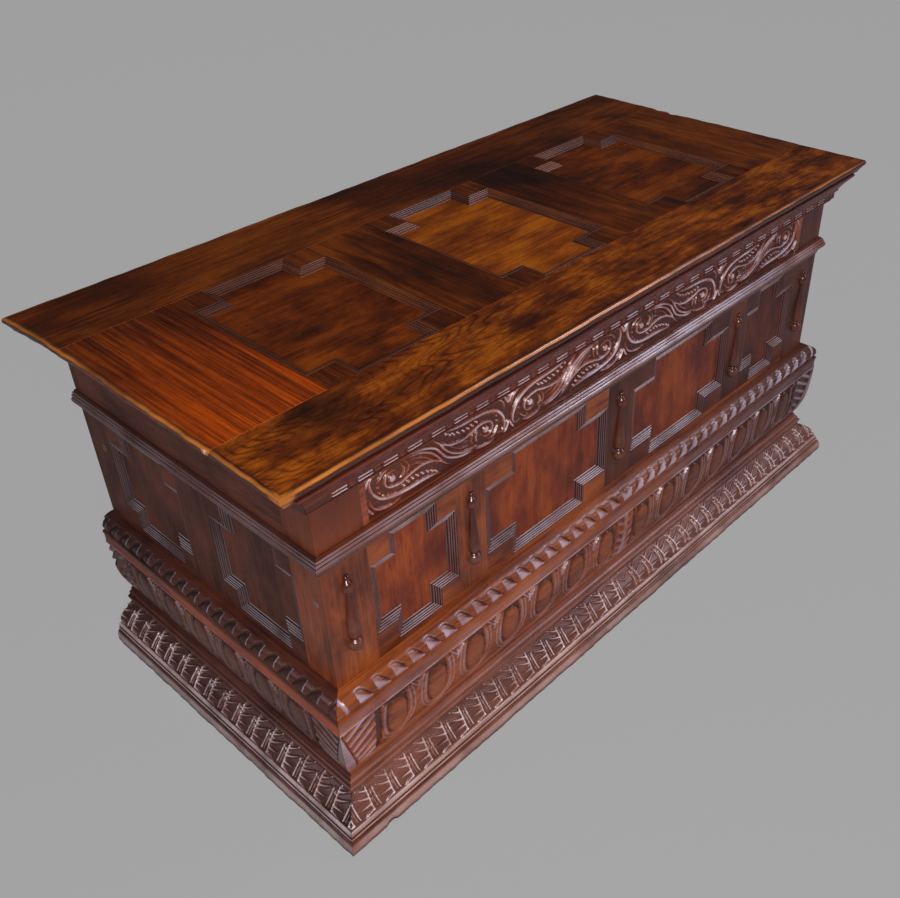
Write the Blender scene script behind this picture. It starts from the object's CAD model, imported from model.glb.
import math

import bpy
import numpy as np
from mathutils import Matrix, Vector


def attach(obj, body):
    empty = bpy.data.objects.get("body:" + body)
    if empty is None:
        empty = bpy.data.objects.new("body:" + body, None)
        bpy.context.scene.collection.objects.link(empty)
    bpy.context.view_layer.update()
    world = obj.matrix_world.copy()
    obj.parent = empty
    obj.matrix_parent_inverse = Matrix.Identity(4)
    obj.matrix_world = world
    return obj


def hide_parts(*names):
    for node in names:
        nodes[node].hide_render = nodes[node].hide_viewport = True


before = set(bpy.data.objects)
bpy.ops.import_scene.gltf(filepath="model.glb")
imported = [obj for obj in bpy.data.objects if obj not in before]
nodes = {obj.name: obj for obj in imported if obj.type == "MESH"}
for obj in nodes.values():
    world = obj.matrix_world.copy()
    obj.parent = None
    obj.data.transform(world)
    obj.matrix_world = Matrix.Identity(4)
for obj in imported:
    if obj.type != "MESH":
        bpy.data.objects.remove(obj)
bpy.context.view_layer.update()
print("frame loaded with", len(nodes), "nodes")

mm = 0.001  # sizes below are in millimetres

# The planes that every piece is set out from
chest = {
    "halfLength": 638.0,
    "frontY": -280.0,
    "backY": 325.0,
    "postWidth": 80.0,
    "postDepth": 64.0,
    "frameThickness": 32.0,
    "muntinAt": 360.0,
    "muntinHalf": 30.0,
    "centreMuntinHalf": 34.0,
    "endMuntin": (-16.0, 61.0),
    "wallFoot": 284.0,
    "wallTop": 490.0,
    "top": 651.5,
    "gap": 0.3,
}
postEdge = chest["halfLength"] - chest["postWidth"]


# Small helpers

def linearColour(hexText):
    parts = [int(hexText[i:i + 2], 16) / 255 for i in (1, 3, 5)]
    linear = [c / 12.92 if c <= 0.04045 else ((c + 0.055) / 1.055) ** 2.4 for c in parts]
    return (*linear, 1.0)


def addObject(name, data):
    piece = bpy.data.objects.new(name, data)
    bpy.context.scene.collection.objects.link(piece)
    return piece


def smoothLine(points, step):
    # A smooth curve through the points, in even small steps
    points = np.array(points, float)
    padded = np.vstack([2 * points[0] - points[1], points, 2 * points[-1] - points[-2]])
    stretches = []
    for i in range(len(points) - 1):
        a, b, c, d = padded[i:i + 4]
        count = max(2, math.ceil(np.linalg.norm(c - b) / step))
        t = np.linspace(0, 1, count, endpoint=False)[:, None]
        cubic = (3 * b - a - 3 * c + d) * t ** 3
        stretches.append(0.5 * (2 * b + (c - a) * t + (2 * a - 5 * b + 4 * c - d) * t ** 2 + cubic))
    stretches.append(points[-1:])
    return np.vstack(stretches)


def straightLine(points, step):
    points = np.array(points, float)
    stretches = []
    for a, b in zip(points[:-1], points[1:]):
        count = max(1, math.ceil(np.linalg.norm(b - a) / step))
        t = np.linspace(0, 1, count, endpoint=False)[:, None]
        stretches.append(a + (b - a) * t)
    stretches.append(points[-1:])
    return np.vstack(stretches)


def wavering(values, period, seed):
    # Slow irregular waver between -1 and 1, for edges that a hand plane or wear left uneven
    values = np.asarray(values, float)
    total = np.zeros_like(values)
    for i, share in enumerate((1.0, 0.53, 0.29, 0.13)):
        total += 0.42 * np.sin(values * 2 * math.pi / (period * share) + seed * (1.7 + i) + 2.1 * i)
    return np.clip(total, -1, 1)


# Material nodes: a value may be a number or another node's output

def addNode(tree, kind, settings=None):
    # A node with its settings; an output among them is linked in
    node = tree.nodes.new(kind)
    for key, value in (settings or {}).items():
        if isinstance(value, bpy.types.NodeSocket):
            tree.links.new(value, node.inputs[key])
        elif isinstance(key, str) and hasattr(node, key):
            setattr(node, key, value)
        else:
            node.inputs[key].default_value = value
    return node


def newMaterial(name):
    material = bpy.data.materials.new(name)
    material.use_nodes = True
    tree = material.node_tree
    tree.nodes.clear()
    return material, tree, addNode(tree, "ShaderNodeOutputMaterial")


def calculate(tree, operation, first, second):
    return addNode(tree, "ShaderNodeMath", {"operation": operation, 0: first, 1: second}).outputs[0]


def vectorMath(tree, operation, first, second):
    place = "Scale" if operation == "SCALE" else 1
    return addNode(tree, "ShaderNodeVectorMath", {"operation": operation, 0: first, place: second})


def span(tree, value, low, high, start, end):
    # Turns the range from low to high into the one from start to end, and stops there
    return addNode(tree, "ShaderNodeMapRange", {0: value, 1: low, 2: high, 3: start, 4: end}).outputs[0]


def noise(tree, place, size, detail, roughness=0.5):
    settings = {"Vector": place, "Scale": 1 / (size * mm), "Detail": detail, "Roughness": roughness}
    return addNode(tree, "ShaderNodeTexNoise", settings).outputs["Fac"]


def blend(tree, share, under, over, mode="MIX"):
    if isinstance(over, str):
        over = linearColour(over)
    settings = {"data_type": "RGBA", "blend_type": mode, 0: share, 6: under, 7: over}
    return addNode(tree, "ShaderNodeMix", settings).outputs[2]


def bump(tree, height, strength, depth, under=None, invert=False):
    settings = {"Height": height, "Strength": strength, "Distance": depth * mm, "invert": invert}
    if under is not None:
        settings["Normal"] = under
    return addNode(tree, "ShaderNodeBump", settings).outputs[0]


def nearness(tree, coords, place, reach):
    # 1 at a place on the chest, and 0 from its reach on
    away = vectorMath(tree, "DISTANCE", coords, tuple(part * mm for part in place)).outputs["Value"]
    return span(tree, away, 0.0, reach * mm, 1.0, 0.0)


# Oak looks: each is a plainer look with changes

oakLooks = {"plainOak": {
    "pore": "#1e0f0a", "ring": 8.0, "ringDepth": 0.25, "ringStart": 0.45, "ringColour": "#5a3018",
    "swirl": 9.0, "fibreDepth": 0.2, "streaks": 0.34, "cloud": 90, "pores": 0.55, "bump": 1.0,
    "knot": None, "patch": None, "roughness": 0.34, "wax": 0.0, "ior": 1.5,
    "rub": 0.0, "rubColour": "#8c7c78", "rubSize": 14.0, "grime": 0.0, "grimeColour": "#1c1210",
}}


def addOak(name, base, tones="", **changes):
    # tones are the darkest, the usual and the brightest colour of the stain
    oakLooks[name] = dict(oakLooks[base], **changes)
    oakLooks[name].update(zip(("dark", "middle", "bright"), tones.split()))


# Lid boards: matt, dark and cloudy, with open rings and an orange worn edge
addOak("lidOak", "plainOak", "#2e1104 #562304 #844007", pore="#1a0b03", ring=7.0, ringDepth=0.6,
       ringColour="#5c2c0c", fibreDepth=0.3, cloud=190, roughness=0.5, ior=1.3, rub=0.8, rubColour="#e08a34",
       rubSize=90.0, grime=0.85, grimeColour="#241210", swirl=12.0, streaks=0.2, pores=0.4)
# Front board of the lid: cut from a crotch, so that rings crowd round a knot and flame along the board
addOak("lidCrotchOak", "lidOak", "#4a1d07 #773606 #a8580b", knot=(-557.0, -212.0, 674.0), knotReach=340.0,
       knotRings=26.0, swirl=30.0, ringDepth=0.75, ringStart=0.5, ringColour="#4a200a", cloud=42, streaks=0.1)
# Left board of the lid: hands that lift the lid wore its stain to a glowing orange-red
addOak("lidStileOak", "lidOak", "#3a1304 #5c2304 #8e3e05", streaks=0.5, patch=(-600.0, -190.0, 674.0),
       patchReach=330.0, patchLeast=0.1, patchColour="#ce5402")
# Nosing of the lid: polished by sleeves, so it catches the light
addOak("lidEdgeOak", "lidOak", ior=1.5, roughness=0.27, wax=0.5, bump=0.1, pores=0.2)
# Lid panels: warmer and calmer boards than their frame, the middle one the most golden
addOak("lidFieldOak", "plainOak", "#3c1704 #682b04 #8c4206", pore="#280f05", ring=10.0, ringDepth=0.4,
       fibreDepth=0.25, cloud=70, roughness=0.5, ior=1.3, streaks=0.12, pores=0.4)
addOak("lidCentreOak", "lidFieldOak", "#6a2e06 #944808 #b86409")
# Front frame: red-brown with a low sheen; the near post is darkened at its top, and the right side is in
# older, darker stain
addOak("frameOak", "plainOak", "#522410 #84401c #9e5422", pore="#260f08", ringDepth=0.3, fibreDepth=0.25,
       roughness=0.36, wax=0.2, rub=0.5, rubColour="#b8846c", streaks=0.16, pores=0.4)
addOak("nearStileOak", "frameOak", patch=(-598.0, -280.0, 610.0), patchReach=240.0, patchLeast=0.7,
       patchColour="#4a190c")
addOak("shadedFrameOak", "frameOak", "#30140b #522512 #68331c", rubColour="#98746a")
# Front panels: a saturated orange-red field under thin varnish
addOak("panelOak", "plainOak", "#5c200a #7a300b #92420f", pore="#2a1208", ring=10.0, ringDepth=0.3,
       fibreDepth=0.25, cloud=45, roughness=0.38, wax=0.1, streaks=0.1, swirl=5.0)
addOak("shadedPanelOak", "panelOak", "#38140a #54200d #682c11")
# Ends: dull dark brown, never polished, with paler heads on the pegs
addOak("endOak", "plainOak", "#3a1c11 #532b1c #683824", cloud=70, roughness=0.5, rub=0.5, rubColour="#8c6c60",
       streaks=0.16)
addOak("pegOak", "endOak", rub=0.8, rubColour="#a08c84")
# Frieze: glossy crests that shine lilac-white over dirt in the ground; the cornice is darker, and its billets
# are its palest wear
addOak("carvedOak", "plainOak", "#52221a #7e3c22 #9c522c", pore="#1e0c07", roughness=0.3, wax=0.35, bump=0.3,
       rub=1.0, rubColour="#d0c6d0", rubSize=40.0, grime=0.9, grimeColour="#34140c", pores=0.3)
addOak("corniceOak", "carvedOak", "#3e1a12 #602819 #7a3a24", rubColour="#b4a8b4")
addOak("billetOak", "carvedOak", "#461c13 #6c2e1b #864026", rub=0.9, rubColour="#dccfd6", roughness=0.27)
# Plinth: warm red-brown that darkens to the right, with greyer rims; its half-round has paler scales and
# darker scoops, and on the ends the band between them is the reddest wood
addOak("plinthOak", "plainOak", "#562613 #8a421c #a65820", pore="#200d07", cloud=80, roughness=0.32, wax=0.3,
       bump=0.4, rub=1.0, rubColour="#ac9aa4", rubSize=40.0, grime=0.8, grimeColour="#321610", pores=0.35,
       patch=(660.0, -300.0, 190.0), patchReach=760.0, patchLeast=0.7, patchColour="#381a12")
addOak("torusOak", "plinthOak", "#52240f #844018 #9e5420", rubColour="#c0b4c4", grime=0.95,
       grimeColour="#241110")
addOak("plinthEndOak", "plinthOak", "#331a14 #522c20 #683c2a", rub=0.8, rubColour="#8c7c7c")
addOak("torusEndOak", "torusOak", "#2e1410 #482218 #5e3020", rubColour="#d0c6d2")
addOak("filletEndOak", "plinthEndOak", "#5c1e08 #963a0e #ac4c16", rub=0.2)
# Base: greyed by mops and shoes, bone-white on the cuts; its foot is smoother, with black in the grooves
addOak("baseOak", "plainOak", "#5a3028 #82503f #98604c", pore="#21100b", cloud=70, wax=0.4, bump=0.5, rub=1.0,
       rubColour="#ecdcdc", rubSize=60.0, grime=0.4, grimeColour="#4a2820", pores=0.35)
addOak("footOak", "baseOak", "#4c2418 #703c2c #88503c", rubColour="#ecccbe", rub=0.85, rubSize=90.0,
       roughness=0.28, grime=0.95, grimeColour="#1a0c0a")
addOak("baseEndOak", "baseOak", "#36190f #502a20 #64382c", rubColour="#d8c8c4", grimeColour="#2e1612")
# Reeded mouldings: scraped and waxed, silvery along level reeds and dull along upright ones
addOak("mouldingOak", "plainOak", "#341a14 #54291d #6c3827", pore="#1a0c08", ringDepth=0.2, fibreDepth=0.15,
       roughness=0.26, wax=0.6, rub=0.8, rubColour="#b8acb2", rubSize=80.0, grime=0.8, grimeColour="#200e0c",
       bump=0.1, pores=0.0)
addOak("uprightMouldingOak", "mouldingOak", "#2e1610 #4a2218 #603022", rub=0.22, rubColour="#a8949c", wax=0.3)
addOak("endMouldingOak", "mouldingOak", "#261411 #3a221b #4c2e25", rub=0.3, rubColour="#847880",
       roughness=0.3, wax=0.4, grime=0.7)
addOak("endReedOak", "endMouldingOak", rub=0.75, rubColour="#a89ea6")
addOak("lidMouldingOak", "mouldingOak", "#30150a #54270e #743c12", rub=0.0, roughness=0.4, wax=0.4,
       grime=0.15)
# Waist: the glossiest moulding, with crests rubbed to lilac-white
addOak("waistOak", "mouldingOak", "#461e10 #6c341a #8a4a26", rub=1.0, rubColour="#cfc6d2", roughness=0.2,
       wax=0.7, grime=0.9)
addOak("waistEndOak", "waistOak", "#2e1712 #46251d #5a3228", rub=0.6, rubColour="#a8989e")
# Balusters: turned and burnished, nearly black, with hard highlights
addOak("turnedOak", "frameOak", "#2c130d #4a2014 #5e2a16", rub=0.2, roughness=0.15, wax=0.1, grime=0.6,
       pores=0.2, bump=0.3)
# Inside, back and underside: sawn or planed and never stained, so dry, matt and greyer
addOak("insideOak", "plainOak", "#4a3322 #6b4a30 #83603f", pore="#33241a", ring=9.0, ringDepth=0.4,
       fibreDepth=0.5, cloud=150, roughness=0.72)
bareOak = "#e0d4cc"  # where an edge is chipped or worn through its stain


# Oak planed by hand, stained red-brown and waxed over many years

# Sizes across the grain, in millimetres
grainSizes = {
    "fibre": 2.6,
    "streak": 6.0,
    "pore": 1.1,  # real pores are 0.3 mm; drawn wider to show
    "swirl": 75.0,
    "ringFading": 40.0,
    "planing": 28.0,
}
# How far each pattern's coordinates are squeezed along the grain, which draws it out, and how far they wander
grainRuns = {"fibre": (0.02, 0.01), "pore": (0.06, 0.01), "ring": (0.16, 0.03), "cloud": (0.5, 0.05)}


def drawnOut(tree, place, grainAxis, pattern):
    # Coordinates drawn out along the grain, and bent a little from side to side
    share, wander = grainRuns[pattern]
    squeeze = {"x": (share, 1, 1), "y": (1, share, 1), "z": (1, 1, share)}[grainAxis]
    drawn = addNode(tree, "ShaderNodeMapping", {"Vector": place, "Scale": squeeze}).outputs[0]
    warp = addNode(tree, "ShaderNodeTexNoise", {"Vector": drawn, "Scale": 8.0, "Detail": 2.0})
    bend = vectorMath(tree, "SCALE", warp.outputs["Color"], wander).outputs[0]
    return vectorMath(tree, "ADD", drawn, bend).outputs[0]


def oakRings(tree, look, coords, broad):
    # A board is a slice through bent growth rings: their number changes along it, with its swirl, and fast
    # towards a knot
    reach = addNode(tree, "ShaderNodeVectorMath", {"operation": "LENGTH", 0: broad}).outputs["Value"]
    swirl = calculate(tree, "MULTIPLY", noise(tree, broad, grainSizes["swirl"], 2.0), look["swirl"])
    number = calculate(tree, "ADD", calculate(tree, "MULTIPLY", reach, 0.4 / (look["ring"] * mm)), swirl)
    if look["knot"]:
        crowding = calculate(tree, "POWER", nearness(tree, coords, look["knot"], look["knotReach"]), 1.6)
        number = calculate(tree, "ADD", number, calculate(tree, "MULTIPLY", crowding, look["knotRings"]))
    ring = calculate(tree, "PINGPONG", number, 1.0)
    line = calculate(tree, "MULTIPLY", span(tree, ring, look["ringStart"], 1.0, 0.0, 1.0), look["ringDepth"])
    fading = span(tree, noise(tree, broad, grainSizes["ringFading"], 2.0), 0.35, 0.65, 0.15, 1.0)
    return calculate(tree, "MULTIPLY", line, fading)


def oakStain(tree, look, coords, tone, rings):
    # Three tones of stain under darker rings, with any knot and any patch that wear or dirt made
    ramp = addNode(tree, "ShaderNodeValToRGB", {0: tone})
    stops = ramp.color_ramp.elements
    stops[0].position = 0.4
    stops[0].color = linearColour(look["dark"])
    stops[1].position = 0.6
    stops[1].color = linearColour(look["bright"])
    middle = stops.new(0.5)
    middle.color = linearColour(look["middle"])
    colour = blend(tree, rings, ramp.outputs[0], look["ringColour"], "MULTIPLY")
    if look["knot"]:
        heart = nearness(tree, coords, look["knot"], look["knotReach"])
        colour = blend(tree, span(tree, heart, 0.8, 0.95, 0.0, 0.8), colour, look["pore"])
    if look["patch"]:
        near = nearness(tree, coords, look["patch"], look["patchReach"])
        uneven = calculate(tree, "MULTIPLY", near, span(tree, tone, 0.4, 0.6, look["patchLeast"], 1.0))
        colour = blend(tree, uneven, colour, look["patchColour"])
    return colour


def oakWear(tree, look, place, colour):
    # Crests of the relief rubbed pale, dirt in its hollows, and bare wood above 1; also the share rubbed
    relief = addNode(tree, "ShaderNodeAttribute", {"attribute_name": "relief"}).outputs["Fac"]
    uneven = span(tree, noise(tree, place, look["rubSize"], 3.0), 0.35, 0.6, 0.3, 1.0)
    rubbed = calculate(tree, "MULTIPLY", span(tree, relief, 0.55, 1.0, 0.0, look["rub"]), uneven)
    colour = blend(tree, rubbed, colour, look["rubColour"])
    colour = blend(tree, span(tree, relief, 0.5, 0.02, 0.0, look["grime"]), colour, look["grimeColour"])
    return blend(tree, span(tree, relief, 1.2, 1.5, 0.0, 1.0), colour, bareOak), rubbed


def oakMaterial(name, look, grainAxis):
    # Soft gloss, open pores along the grain, flowing growth rings, cloudy patina and pale rubbed crests
    material, tree, out = newMaterial(f"{name}_{grainAxis}")
    coords = addNode(tree, "ShaderNodeTexCoord").outputs["Object"]
    chance = addNode(tree, "ShaderNodeObjectInfo").outputs["Random"]
    shift = vectorMath(tree, "SCALE", (3.1, 2.3, 1.7), chance).outputs[0]
    place = vectorMath(tree, "ADD", coords, shift).outputs[0]

    fine = drawnOut(tree, place, grainAxis, "fibre")
    fibres = noise(tree, fine, grainSizes["fibre"], 3.0, 0.6)
    streaks = noise(tree, fine, grainSizes["streak"], 4.0, 0.68)
    clouds = noise(tree, drawnOut(tree, place, grainAxis, "cloud"), look["cloud"], 7.0, 0.66)
    openings = noise(tree, drawnOut(tree, place, grainAxis, "pore"), grainSizes["pore"], 1.0)
    pores = span(tree, openings, 0.62, 0.7, 0.0, 1.0)
    cloudy = calculate(tree, "MULTIPLY", clouds, 0.84 - look["streaks"])
    streaky = calculate(tree, "MULTIPLY", streaks, look["streaks"])
    fibrous = calculate(tree, "MULTIPLY", fibres, 0.16)
    tone = calculate(tree, "ADD", calculate(tree, "ADD", cloudy, streaky), fibrous)
    rings = oakRings(tree, look, coords, drawnOut(tree, place, grainAxis, "ring"))
    stained = oakStain(tree, look, coords, tone, rings)
    fibred = blend(tree, look["fibreDepth"], stained, fibres, "OVERLAY")
    pored = blend(tree, calculate(tree, "MULTIPLY", pores, look["pores"]), fibred, look["pore"])
    worn, rubbed = oakWear(tree, look, place, pored)

    gloss = span(tree, fibres, 0.3, 0.7, look["roughness"] - 0.06, look["roughness"] + 0.1)
    polished = calculate(tree, "ADD", gloss, calculate(tree, "MULTIPLY", rubbed, -0.14))
    planed = bump(tree, noise(tree, place, grainSizes["planing"], 2.0), 0.2, 1.0)
    ridged = bump(tree, streaks, 0.4 * look["bump"], 0.35, planed)
    pitted = bump(tree, pores, 0.5 * look["bump"], 0.25, ridged, True)
    shader = addNode(tree, "ShaderNodeBsdfPrincipled",
                     {"IOR": look["ior"], "Coat Weight": look["wax"], "Coat Roughness": 0.26,
                      "Base Color": worn, "Roughness": polished, "Normal": pitted})
    tree.links.new(shader.outputs[0], out.inputs["Surface"])
    return material


woods = {}  # the materials made so far, by look and grain


def oak(name, grainAxis):
    key = (name, grainAxis)
    if key not in woods:
        woods[key] = oakMaterial(name, oakLooks[name], grainAxis)
    return woods[key]


ironLook = {"scale": "#2a2725", "rust": "#4b2c1c", "bloom": 9.0, "roughness": 0.55}


def forgedIron():
    # Hand-forged iron, blackened and lightly rusted: dull, with a brown bloom in patches
    material, tree, out = newMaterial("forgedIron")
    coords = addNode(tree, "ShaderNodeTexCoord").outputs["Object"]
    bloom = noise(tree, coords, ironLook["bloom"], 6.0, 0.65)
    ramp = addNode(tree, "ShaderNodeValToRGB", {0: bloom})
    stops = ramp.color_ramp.elements
    stops[0].position = 0.42
    stops[0].color = linearColour(ironLook["scale"])
    stops[1].position = 0.68
    stops[1].color = linearColour(ironLook["rust"])
    shader = addNode(tree, "ShaderNodeBsdfPrincipled",
                     {"Metallic": 0.85, "Roughness": ironLook["roughness"], "Base Color": ramp.outputs[0],
                      "Normal": bump(tree, bloom, 0.5, 0.3)})
    tree.links.new(shader.outputs[0], out.inputs["Surface"])
    return material


# Relief tiles: small height maps, in millimetres above the ground of the carving

def blankTile(width, depth, step):
    columns = np.arange(0, width + step, step)
    rows = np.arange(0, depth + step, step)
    return {"step": step, "u": columns, "v": rows, "height": np.zeros((len(rows), len(columns)))}


def raiseSpot(tile, u, v, radius, height, sharp=False):
    # A round rise at one place: a dome, or nearly a cone where it is sharp
    i0, i1 = np.searchsorted(tile["u"], [u - radius, u + radius])
    j0, j1 = np.searchsorted(tile["v"], [v - radius, v + radius])
    if i0 >= i1 or j0 >= j1:
        return
    across = (tile["u"][i0:i1] - u)[None, :]
    down = (tile["v"][j0:j1] - v)[:, None]
    away = np.clip(1 - np.hypot(across, down) / radius, 0, 1)
    rise = height * (away ** 0.8 if sharp else np.sqrt(1 - (1 - away) ** 2))
    window = tile["height"][j0:j1, i0:i1]
    np.maximum(window, rise, out=window)


def raiseRidge(tile, points, width, height, taper=0.3, tip=None, sharp=False):
    # A ridge along a line; it thins towards both ends, or evenly down to a tip of its own width
    line = smoothLine(points, tile["step"] * 0.6)
    t = np.linspace(0, 1, len(line))
    if tip is None:
        swell = 0.3 + 0.7 * np.sqrt(np.clip(np.minimum(t, 1 - t) / taper, 0, 1))
        widths = width * swell
    else:
        swell = 1 - 0.45 * t
        widths = width + (tip - width) * t
    for (u, v), wide, share in zip(line, widths, swell):
        raiseSpot(tile, u, v, max(0.3, wide * 0.5), height * share, sharp)


def readTile(tile, u, v):
    # Height at any place on a tile, blended between its points
    rows, columns = tile["height"].shape
    x = np.clip(u / tile["step"], 0, columns - 1.001)
    y = np.clip(v / tile["step"], 0, rows - 1.001)
    i = x.astype(int)
    j = y.astype(int)
    fx = x - i
    fy = y - j
    h = tile["height"]
    top = h[j, i] * (1 - fx) + h[j, i + 1] * fx
    below = h[j + 1, i] * (1 - fx) + h[j + 1, i + 1] * fx
    return top * (1 - fy) + below * fy


def foldBack(distance, length):
    # Distance along a row of tiles in which every other tile is mirrored
    turn = np.mod(distance, 2 * length)
    return np.where(turn < length, turn, 2 * length - turn)


# Meshes

def gridFaces(index):
    # Four-sided faces between neighbouring points of a grid
    return np.stack([index[:-1, :-1], index[:-1, 1:], index[1:, 1:], index[1:, :-1]], -1).reshape(-1, 4)


sharpAngles = {"carving": 38, "moulding": 42, "round": 50}  # edges over this many degrees stay crisp


def finishPiece(names, points, faces, materials, relief, faceWoods=None, shaping="carving"):
    # names are the piece, its body, the node that it replaces and its slot
    name, body, node, slotName = names
    mesh = bpy.data.meshes.new(name)
    mesh.from_pydata([tuple(p) for p in np.asarray(points) * mm], [], faces)
    for material in materials:
        mesh.materials.append(material)
    if faceWoods is not None:
        mesh.polygons.foreach_set("material_index", np.asarray(faceWoods, np.int32))
    attribute = mesh.attributes.new("relief", "FLOAT", "POINT")
    attribute.data.foreach_set("value", np.asarray(relief, np.float32).ravel())
    mesh.validate()
    mesh.update()
    mesh.shade_smooth()
    mesh.set_sharp_from_angle(angle=math.radians(sharpAngles[shaping]))
    piece = addObject(name, mesh)
    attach(piece, body)
    if node:
        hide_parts(node)


# A wall's own coordinates: u along it, v up and w out of its face
def frontAt(u, v, w):
    return np.stack([u, chest["frontY"] - w, v], -1)


def leftAt(u, v, w):
    return np.stack([-chest["halfLength"] - w, u, v], -1)


def rightAt(u, v, w):
    return np.stack([chest["halfLength"] + w, u, v], -1)


walls = {"front": frontAt, "left": leftAt, "right": rightAt}


def fromCorner(side, u):
    # Distance from the nearest carcass corner at the front, negative inside the mitre
    if side == "front":
        return chest["halfLength"] - np.abs(u)
    return u - chest["frontY"]


def closeSection(rows, backW):
    # Adds the back of the section, so that the swept piece is solid
    return {
        "w": np.concatenate([[backW], rows["w"], [backW]]),
        "v": np.concatenate([[rows["v"][0]], rows["v"], [rows["v"][-1]]]),
        "depth": np.concatenate([[0], rows["depth"], [0]]),
        "part": np.concatenate([[""], rows["part"], [""]]),
    }


def mouldingSection(parts, moulding):
    # Points up the face of a moulding, from shares of its projection and height. "depth" is how far a point
    # lies down its own part, and "lengths" is how long each part is along the face.
    rows = {"w": [], "v": [], "depth": [], "part": []}
    lengths = {}
    for part in parts:
        shape = np.array(part["shares"], float) * (moulding["projection"], moulding["height"])
        shape = shape + (chest["gap"], moulding["foot"])
        line = (smoothLine if part.get("curved") else straightLine)(shape, part["step"])
        travelled = np.concatenate([[0], np.cumsum(np.linalg.norm(np.diff(line, axis=0), axis=1))])
        name = part.get("name", "")
        lengths[name] = travelled[-1]
        rows["w"].extend(line[:, 0])
        rows["v"].extend(line[:, 1])
        rows["depth"].extend(travelled[-1] - travelled)
        rows["part"].extend([name] * len(line))
    section = closeSection({key: np.array(value) for key, value in rows.items()}, chest["gap"])
    section["lengths"] = lengths
    return section


def outwardNormals(w, v):
    # Rows run up the face, so its outward side is to the right of travel
    dw = np.gradient(w)
    dv = np.gradient(v)
    size = np.maximum(np.hypot(dw, dv), 1e-6)
    return dv / size, -dw / size


def mitreLimits(side, w):
    # Ends of a moulding at each projection, which make the mitres
    if side == "front":
        end = chest["halfLength"] + w - chest["gap"]
        return -end, end
    return chest["frontY"] - w + chest["gap"], chest["backY"]


def sweepPiece(names, side, section, columns, height, shade, woodsHere, partWoods=None, limits=None):
    # Sweeps a section along a side. height moves each point out of the face, shade is its wear, partWoods
    # says which wood a named part takes, and limits are the ends of a piece that has no mitres.
    outW, outV = outwardNormals(section["w"], section["v"])
    allW = section["w"][:, None] + outW[:, None] * height
    allV = section["v"][:, None] + outV[:, None] * height
    u = np.clip(np.broadcast_to(columns[None, :], allW.shape), *(limits or mitreLimits(side, allW)))
    points = walls[side](u, allV, allW).reshape(-1, 3)
    index = np.arange(allW.size).reshape(allW.shape)
    quads = gridFaces(np.vstack([index, index[:1]]))
    corner = points[quads]
    area = np.linalg.norm(np.cross(corner[:, 2] - corner[:, 0], corner[:, 3] - corner[:, 1]), axis=1)
    kept = area > 1e-4
    faces = quads[kept].tolist()
    faces.append(index[::-1, 0].tolist())
    faces.append(index[:, -1].tolist())
    if side == "left":
        faces = [face[::-1] for face in faces]
    rowWoods = np.array([(partWoods or {}).get(part, 0) for part in section["part"]])
    faceWoods = np.append(np.repeat(rowWoods, len(columns) - 1)[kept], [0, 0])
    finishPiece(names, points, faces, woodsHere, shade, faceWoods)


def mitredColumns(side, reach, step):
    if side == "front":
        end = chest["halfLength"] + reach
        return np.linspace(-end, end, int(2 * end / step) + 1)
    start = chest["frontY"] - reach
    return np.linspace(start, chest["backY"], int((chest["backY"] - start) / step) + 1)


# Frieze: a band of scrolling leaves, four units long, every second one mirrored

frieze = {
    "foot": 524.0,
    "height": 76.5,
    "plainRows": (515.0, 625.0),
    "unit": 274.0,
    "depth": 4.2,
    "step": 1.3,
    "roughCut": 0.35,
    "edge": 3.0,
    "eye": (6.5, 5.0),  # radius and height, as for the beads
    "bead": (3.0, 4.2),
    "smallBead": (2.55, 2.9),
    "stem": (5.0, 4.4, 0.15),  # width, height and taper
    "tie": (4.6, 4.4, 0.2),
}
# Each stroke of half a unit: its width and height, then its places on a unit drawn 265 by 76
friezeDrawn = (265, 76)
friezeStrokes = [
    (4.8, 4.2, [(56, 30), (54, 23), (46, 19), (37, 22), (33, 31), (37, 40), (47, 44), (60, 45), (75, 41),
                (95, 38), (115, 42), (132, 52), (146, 64), (153, 71)]),
    (6.4, 4.6, [(24, 12), (15, 11), (9, 17), (9, 28), (14, 40), (25, 52), (43, 59), (68, 62), (95, 63),
                (117, 66), (130, 71)]),
    (4.4, 3.6, [(30, 8), (40, 5), (54, 6), (70, 9)]),
    (3.6, 3.6, [(44, 12), (32, 14), (24, 22), (21, 27)]),
    (3.4, 3.8, [(62, 16), (67, 25), (65, 34), (60, 39)]),
    (3.0, 3.2, [(70, 15), (75, 25), (73, 34), (69, 39)]),
    (4.8, 4.0, [(62, 13), (78, 14), (96, 18), (114, 28), (127, 42), (137, 57), (152, 69)]),
    (3.6, 3.2, [(80, 21), (95, 25), (108, 33), (119, 44), (128, 55)]),
    (3.2, 2.8, [(79, 29), (91, 32), (102, 38), (111, 45)]),
    (5.0, 3.6, [(6, 44), (10, 58), (20, 67), (36, 71), (58, 71)]),
]
friezeStem = [(72, 9), (100, 14), (122, 25), (132.5, 38), (143, 51), (165, 62), (193, 67)]
friezeBeads = [(64, 53), (72, 51), (80, 50.5), (89, 51), (98, 52.5), (107, 55), (115, 58.5), (122, 63)]
friezeSmallBeads = [(22, 33), (24, 43), (30, 50), (38, 54)]
friezeEye = (46, 31)
friezeTie = [(11, 6), (5, 14), (0, 24)]  # millimetres from a unit's end


def onUnit(points, turned):
    # Drawn places in millimetres on the unit, as drawn or turned half round
    size = np.array([frieze["unit"], frieze["height"]])
    points = np.array(points, float) * (size / friezeDrawn)
    return size - points if turned else points


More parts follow.
